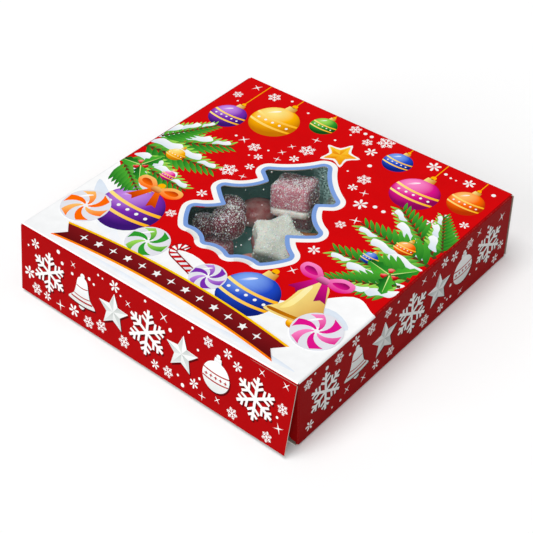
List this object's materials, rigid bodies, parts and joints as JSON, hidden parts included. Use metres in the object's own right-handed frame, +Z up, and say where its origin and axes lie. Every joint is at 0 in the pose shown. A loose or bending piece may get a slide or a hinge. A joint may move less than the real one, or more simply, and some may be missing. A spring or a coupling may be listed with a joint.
{
  "type": "sweet box",
  "caption": "Square tuck-end folding carton with a fir-shaped film window, hinged end flaps, tuck tongues and dust flaps around a tray of sugared jelly sweets.",
  "frame": {"origin": "middle of the carton's underside", "axes": "+Z up through the top panel, -Y out through the front closure flap, +X to the right wall"},
  "size_m": [0.18, 0.1873, 0.0415],
  "materials": {
    "printed_board": "printed and varnished white-lined folding board",
    "plain_board": "grey unprinted side of folding board",
    "clear_film": "clear glossy window film",
    "dried_glue": "dried white dispersion glue",
    "tray_plastic": "thermoformed dark sheet",
    "mauve_jelly": "sugared jelly",
    "white_foam": "sugared marshmallow foam",
    "white_jelly": "sugared opaque jelly",
    "cola_jelly": "oiled clear brown jelly",
    "red_jelly": "oiled clear red jelly",
    "pink_jelly": "lightly sugared pink jelly",
    "black_jelly": "sugared very dark jelly",
    "plum_jelly": "sugared plum jelly"
  },
  "bodies": {
    "carton": {"top_panel": "printed_board", "bottom_panel": "printed_board", "right_wall": "printed_board", "left_wall": "printed_board", "seam_flap": "plain_board", "seam_glue": "dried_glue", "window_film": "clear_film", "window_glue": "dried_glue", "tray": "tray_plastic", "mauve_cube_tops": "mauve_jelly", "foam_cube_bases": "white_foam", "white_stars": "white_jelly", "cola_slabs": "cola_jelly", "red_ovals": "red_jelly", "pink_beans": "pink_jelly", "black_drops": "black_jelly", "plum_lobed_jellies": "plum_jelly"},
    "front_flap": {"front_flap": "printed_board"},
    "front_tongue": {"front_tongue": "plain_board"},
    "rear_flap": {"rear_flap": "printed_board"},
    "rear_tongue": {"rear_tongue": "plain_board"},
    "front_right_dust_flap": {"front_right_dust_flap": "plain_board"},
    "front_left_dust_flap": {"front_left_dust_flap": "plain_board"},
    "rear_right_dust_flap": {"rear_right_dust_flap": "plain_board"},
    "rear_left_dust_flap": {"rear_left_dust_flap": "plain_board"}
  },
  "joints": [
    {"name": "front_flap_fold", "type": "hinge", "parent": "carton", "child": "front_flap", "pos_m": [0, -0.09, 0.0415], "axis": [-1, 0, 0], "range_deg": [-8, 100]},
    {"name": "front_tongue_fold", "type": "hinge", "parent": "front_flap", "child": "front_tongue", "pos_m": [0, -0.09734, 0.00187], "axis": [-1, 0, 0], "range_deg": [-4, 50]},
    {"name": "rear_flap_fold", "type": "hinge", "parent": "carton", "child": "rear_flap", "pos_m": [0, 0.09, 0.0415], "axis": [1, 0, 0], "range_deg": [0, 100]},
    {"name": "rear_tongue_fold", "type": "hinge", "parent": "rear_flap", "child": "rear_tongue", "pos_m": [0, 0.09, 0.0012], "axis": [1, 0, 0], "range_deg": [0, 50]},
    {"name": "front_right_dust_fold", "type": "hinge", "parent": "carton", "child": "front_right_dust_flap", "pos_m": [0.0888, -0.0886, 0.02075], "axis": [0, 0, -1], "range_deg": [0, 6]},
    {"name": "front_left_dust_fold", "type": "hinge", "parent": "carton", "child": "front_left_dust_flap", "pos_m": [-0.0888, -0.0886, 0.02075], "axis": [0, 0, 1], "range_deg": [0, 6]},
    {"name": "rear_right_dust_fold", "type": "hinge", "parent": "carton", "child": "rear_right_dust_flap", "pos_m": [0.0888, 0.0886, 0.02075], "axis": [0, 0, 1], "range_deg": [0, 6]},
    {"name": "rear_left_dust_fold", "type": "hinge", "parent": "carton", "child": "rear_left_dust_flap", "pos_m": [-0.0888, 0.0886, 0.02075], "axis": [0, 0, -1], "range_deg": [0, 6]}
  ],
  "couplings": [
    {"joint": "front_tongue_fold", "follows": "front_flap_fold", "ratio": 0.5},
    {"joint": "rear_tongue_fold", "follows": "rear_flap_fold", "ratio": 0.5}
  ]
}
